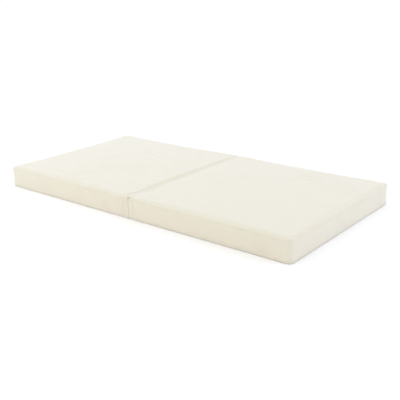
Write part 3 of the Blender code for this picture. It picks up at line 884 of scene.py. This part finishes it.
def zip_tab(name, end):
    """The folded tab of cloth that closes one end of the zip."""
    node = f"zip_end_tab_{end}"
    low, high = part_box(f"foot_{node}")
    n = 20
    u = np.sin(np.linspace(-1, 1, n + 1) * math.pi / 2)
    round_off = (1 - np.abs(u) ** 14) ** 0.5
    plump = round_off[:, None] * round_off[None]
    verts = []
    for face in (1, -1):
        for i in range(n + 1):
            for j in range(n + 1):
                x = (low.x + high.x) / 2 + u[i] * (high.x - low.x) / 2
                z = ZIP_HEIGHT + u[j] * (high.z - low.z) / 2
                crease = 0.12 * noise.noise(Vector((x * 300, z * 300, face)))
                y = (low.y + high.y) / 2 + face * (high.y - low.y) / 2 * max(plump[i, j] - abs(crease), 0.0)
                verts.append((x, y, z))
    size = (n + 1) ** 2
    faces = []
    for a, b, c, d in patches(n, n):
        faces += [(a, b, c, d), (size + a, size + d, size + c, size + b)]
    tab = handed(name, f"{node}_cloth", verts, faces)
    bm = bmesh.new()
    bm.from_mesh(tab.data)
    bmesh.ops.remove_doubles(bm, verts=bm.verts, dist=1e-6)
    bm.to_mesh(tab.data)
    bm.free()
    tab.data.shade_smooth()
    dress(tab, CREAM_SIDE, f"{name}_panel", "cover_border", f"{name}_{node}")


def zip_topstitch(name):
    """The line of stitches round the zip's window, through the border and the tapes."""
    away, stitch, pitch = 0.0022, 0.0027, 0.0036
    low_x, high_x = WINDOW_NEAR - away, WINDOW_FAR + away
    low_z, high_z = WINDOW_LOW - away, WINDOW_HIGH + away
    lift = arch(FINE_LIFT, 2.5)
    paths = []
    for x in np.arange(low_x + pitch / 2, high_x, pitch):
        for z in (low_z, high_z):
            paths.append([(x + r * stitch, BACK + y, z) for r, y in zip(REACH, lift)])
    for z in np.arange(low_z + pitch / 2, high_z, pitch):
        for x in (low_x, high_x):
            paths.append([(x, BACK + y, z + r * stitch) for r, y in zip(REACH, lift)])
    paths = np.array(paths) * (SIDES[name], 1, 1)
    stitches = threads(f"{name}_zip_topstitch", paths, FINE_RADIUS, (0, 1, 0), 5)
    dress(stitches, THREAD, f"{name}_panel", "seam_thread")


def zipper(name):
    """A panel's zip. Its slider, pull and stops keep their CAD shapes."""
    for row, way in (("upper", 1), ("lower", -1)):
        zip_tape(name, row, way)
        zip_coil(name, row, way)
    for end in ("near", "far"):
        zip_tab(name, end)
    zip_topstitch(name)
    for node in ("zip_slider", "zip_pull", "zip_stop_near", "zip_stop_far"):
        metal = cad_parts[f"{name}_{node}"]
        metal.data.materials.clear()
        metal.data.materials.append(NICKEL)
        edge = metal.modifiers.new("worn_edges", "BEVEL")
        edge.width = 0.00012
        edge.segments = 2
        edge.limit_method = "ANGLE"


# ---- hinge ----

HINGE_REACH = 0.0120        # from the fold's middle to the hinge's stitches
HINGE_MARGIN = 0.0036       # of cloth past the stitches
HINGE_END = 0.480           # of the cloth, from the middle of the width
HINGE_DIP = 0.0014          # of the cloth between its stitches
HINGE_CLOTH = 0.0006
HINGE_CLEAR = 0.0001        # between the hinge's cloth and the top under it


def flare(y):
    """How much further the fold's walls stand from its middle at y, where the panels' corners turn away."""
    past = max(abs(y) - (BACK - FOLD_CORNER), 0)
    return FOLD_CORNER - math.sqrt(FOLD_CORNER ** 2 - past ** 2)


def smooth(heights):
    """Heights in rows, evened out along the rows' direction without falling below where they were."""
    for pick in (np.max, np.mean):
        padded = np.pad(heights, ((2, 2), (0, 0)), mode="edge")
        heights = pick([padded[k:k + len(heights)] for k in range(5)], axis=0)
    return heights


def hinge(lies):
    """The cloth that joins the panels: sewn on their top edges, with a slack dip between them."""

    def height(x, y):
        hits = [lie.ray_cast(Vector((x, y, 1)), Vector((0, 0, -1)))[0] for lie in lies]
        found = [h.z for h in hits if h]
        return max(found) if found else 0.0

    rows, columns = 236, 40
    ys = np.linspace(-HINGE_END, HINGE_END, rows + 1)
    across = np.linspace(-1, 1, columns + 1)
    under = np.array([[height(x * (HINGE_REACH + HINGE_MARGIN + flare(y)), y) for x in across] for y in ys])
    lying = smooth(under)
    verts = []
    for j, y in enumerate(ys):
        sewn = HINGE_REACH + flare(y)
        half = sewn + HINGE_MARGIN
        low, high = (np.interp(facing * sewn / half, across, lying[j]) for facing in (-1, 1))
        crease = 0.0045 * noise.noise(Vector((0, y * 6, 2)))
        crease += 0.0012 * noise.noise(Vector((0, y * 22, 5)))
        end = max(abs(y) - (HINGE_END - 0.02), 0) / 0.02
        dip = HINGE_DIP * (1 + 0.25 * noise.noise(Vector((0, y * 9, 8)))) + 0.001 * end ** 2
        for i in range(columns + 1):
            x = half * across[i]
            z = (lying[j, i] if abs(x) > sewn else under[j, i]) + HINGE_CLOTH + HINGE_CLEAR
            if abs(x) < sewn:
                share = (x + sewn) / (2 * sewn)
                span = sewn + crease if x < crease else sewn - crease
                sag = dip * (1 - (abs(x - crease) / span) ** 1.25)
                z = max(z, low + (high - low) * share + HINGE_CLOTH + HINGE_CLEAR - sag)
            verts.append((x, y, min(z, TOP)))
    cloth = thicken(made("hinge_cloth", verts, patches(rows, columns)), HINGE_CLOTH)
    dress(cloth, HINGE_VELOUR_PAINTED_LIGHTER, None, "cover_top", "fold_hinge_tape")
    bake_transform(cloth)
    for name, side in SIDES.items():
        hinge_stitches(name, side, height)


def hinge_stitches(name, side, height):
    """The line of stitches that holds the hinge to one panel's top edge."""
    stitch, pitch, end = 0.0029, 0.0038, HINGE_END - 0.004
    lift = 0.00075 + arch(FINE_LIFT, 2.5)
    paths = []
    for y in np.arange(-end, end, pitch):
        x = side * (HINGE_REACH + 0.0012 + flare(y))
        z = height(x, y)
        paths.append([(x, y + r * stitch, min(z + t, TOP + 0.0004)) for r, t in zip(REACH, lift)])
    stitches = threads(f"{name}_hinge_stitches", paths, FINE_RADIUS, (0, 0, 1), 5)
    dress(stitches, THREAD, f"{name}_panel", "seam_thread", f"{name}_hinge_stitching")


def label():
    """The blank label that hangs from the back's top seam, a little curled."""
    low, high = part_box("head_care_label")
    columns, rows = 28, 36
    verts = []
    for j in range(rows + 1):
        down = j / rows
        for i in range(columns + 1):
            u = 2 * i / columns - 1
            curl = 0.0030 * down ** 2 + 0.0008 * down * math.sin(3 * u + 2 * down) + 0.0004 * (abs(u) > 0.86)
            curl += 0.0004 * (down > 0.9)
            x = (low.x + high.x) / 2 + u * (high.x - low.x) / 2
            z = high.z + (low.z - high.z) * down + 0.0012 * down * noise.noise(Vector((u * 2, 0, 1)))
            verts.append((x, low.y + 0.0002 + max(curl, 0), z))
    ribbon = thicken(made("care_label", verts, patches(rows, columns)), 0.00025)
    dress(ribbon, LABEL_SATIN, "head_panel", "label", "head_care_label")


# ---- stage, lights and camera ----


def stage():
    """A pale floor and a plain pale world."""
    floor = made("floor", [(-60, -60, 0), (60, -60, 0), (60, 60, 0), (-60, 60, 0)], [(0, 1, 2, 3)])
    floor.location.z = -0.0005
    pale = (0.97, 0.97, 0.97, 1)
    finish = material("pale_floor", Base_Color=pale, Roughness=1.0, Specular_IOR_Level=0.0)[0]
    floor.data.materials.append(finish)
    world = bpy.data.worlds.new("studio")
    world.use_nodes = True
    sky = world.node_tree.nodes["Background"].inputs
    sky["Color"].default_value = (1, 1, 1, 1)
    sky["Strength"].default_value = 1.06
    scene.world = world


def softbox(name, place, aim, size, power, colour=(1, 1, 1)):
    """A square area light that faces a point."""
    light = bpy.data.lights.new(name, "AREA")
    light.size = size
    light.energy = power
    light.color = colour
    obj = linked(name, light)
    obj.location = place
    obj.rotation_euler = (Vector(aim) - Vector(place)).to_track_quat("-Z", "Y").to_euler()


def camera():
    """The camera, in front of the mattress, round towards its foot end and above it."""
    azimuth, elevation, roll = math.radians(39.69), math.radians(18.465), math.radians(-1.267)
    distance = 1.973 * 2 * OUTER
    level = math.cos(elevation)
    back = Vector((math.sin(azimuth) * level, -math.cos(azimuth) * level, math.sin(elevation)))
    cam = linked("camera", bpy.data.cameras.new("camera"))
    cam.location = back * distance
    cam.rotation_mode = "QUATERNION"
    cam.rotation_quaternion = (-back).to_track_quat("-Z", "Y") @ Quaternion((0, 0, 1), roll)
    cam.data.lens = 60.50
    cam.data.shift_x, cam.data.shift_y = 0.0271, -0.0153
    scene.camera = cam


lies = []
for panel in SIDES:
    panel_form, lie = cover(panel)
    lies.append(lie)
    seam_ring(panel, "top_seam", panel_form, TOP_SEAM)
    seam_ring(panel, "bottom_seam", panel_form, BOTTOM_SEAM)
    for where, facing in (("front", -1), ("back", 1)):
        upright_seam(panel, f"{where}_upright_seam", facing)
    foam_block(panel, "memory_foam", VISCO_FOAM, 0.010, 0.0022)
    foam_block(panel, "support_foam", FIRM_FOAM, 0.003, 0.0)
    sock(panel)
    zipper(panel)
hinge(lies)
label()
stage()
softbox("key", (-3.0, -1.4, 1.0), (-0.6, -0.4, 0), 1.4, 14.8, (0.72, 0.89, 0.99))
softbox("front_fill", (-0.4, -2.2, 0.8), (-0.1, -0.48, 0.05), 1.0, 2.4, (1.0, 0.76, 0.76))
softbox("end_fill", (3.0, 0.7, 1.4), (0.95, 0, 0.05), 1.4, 12.2, (0.48, 0.61, 1.0))
camera()
scene.view_settings.view_transform = "Standard"
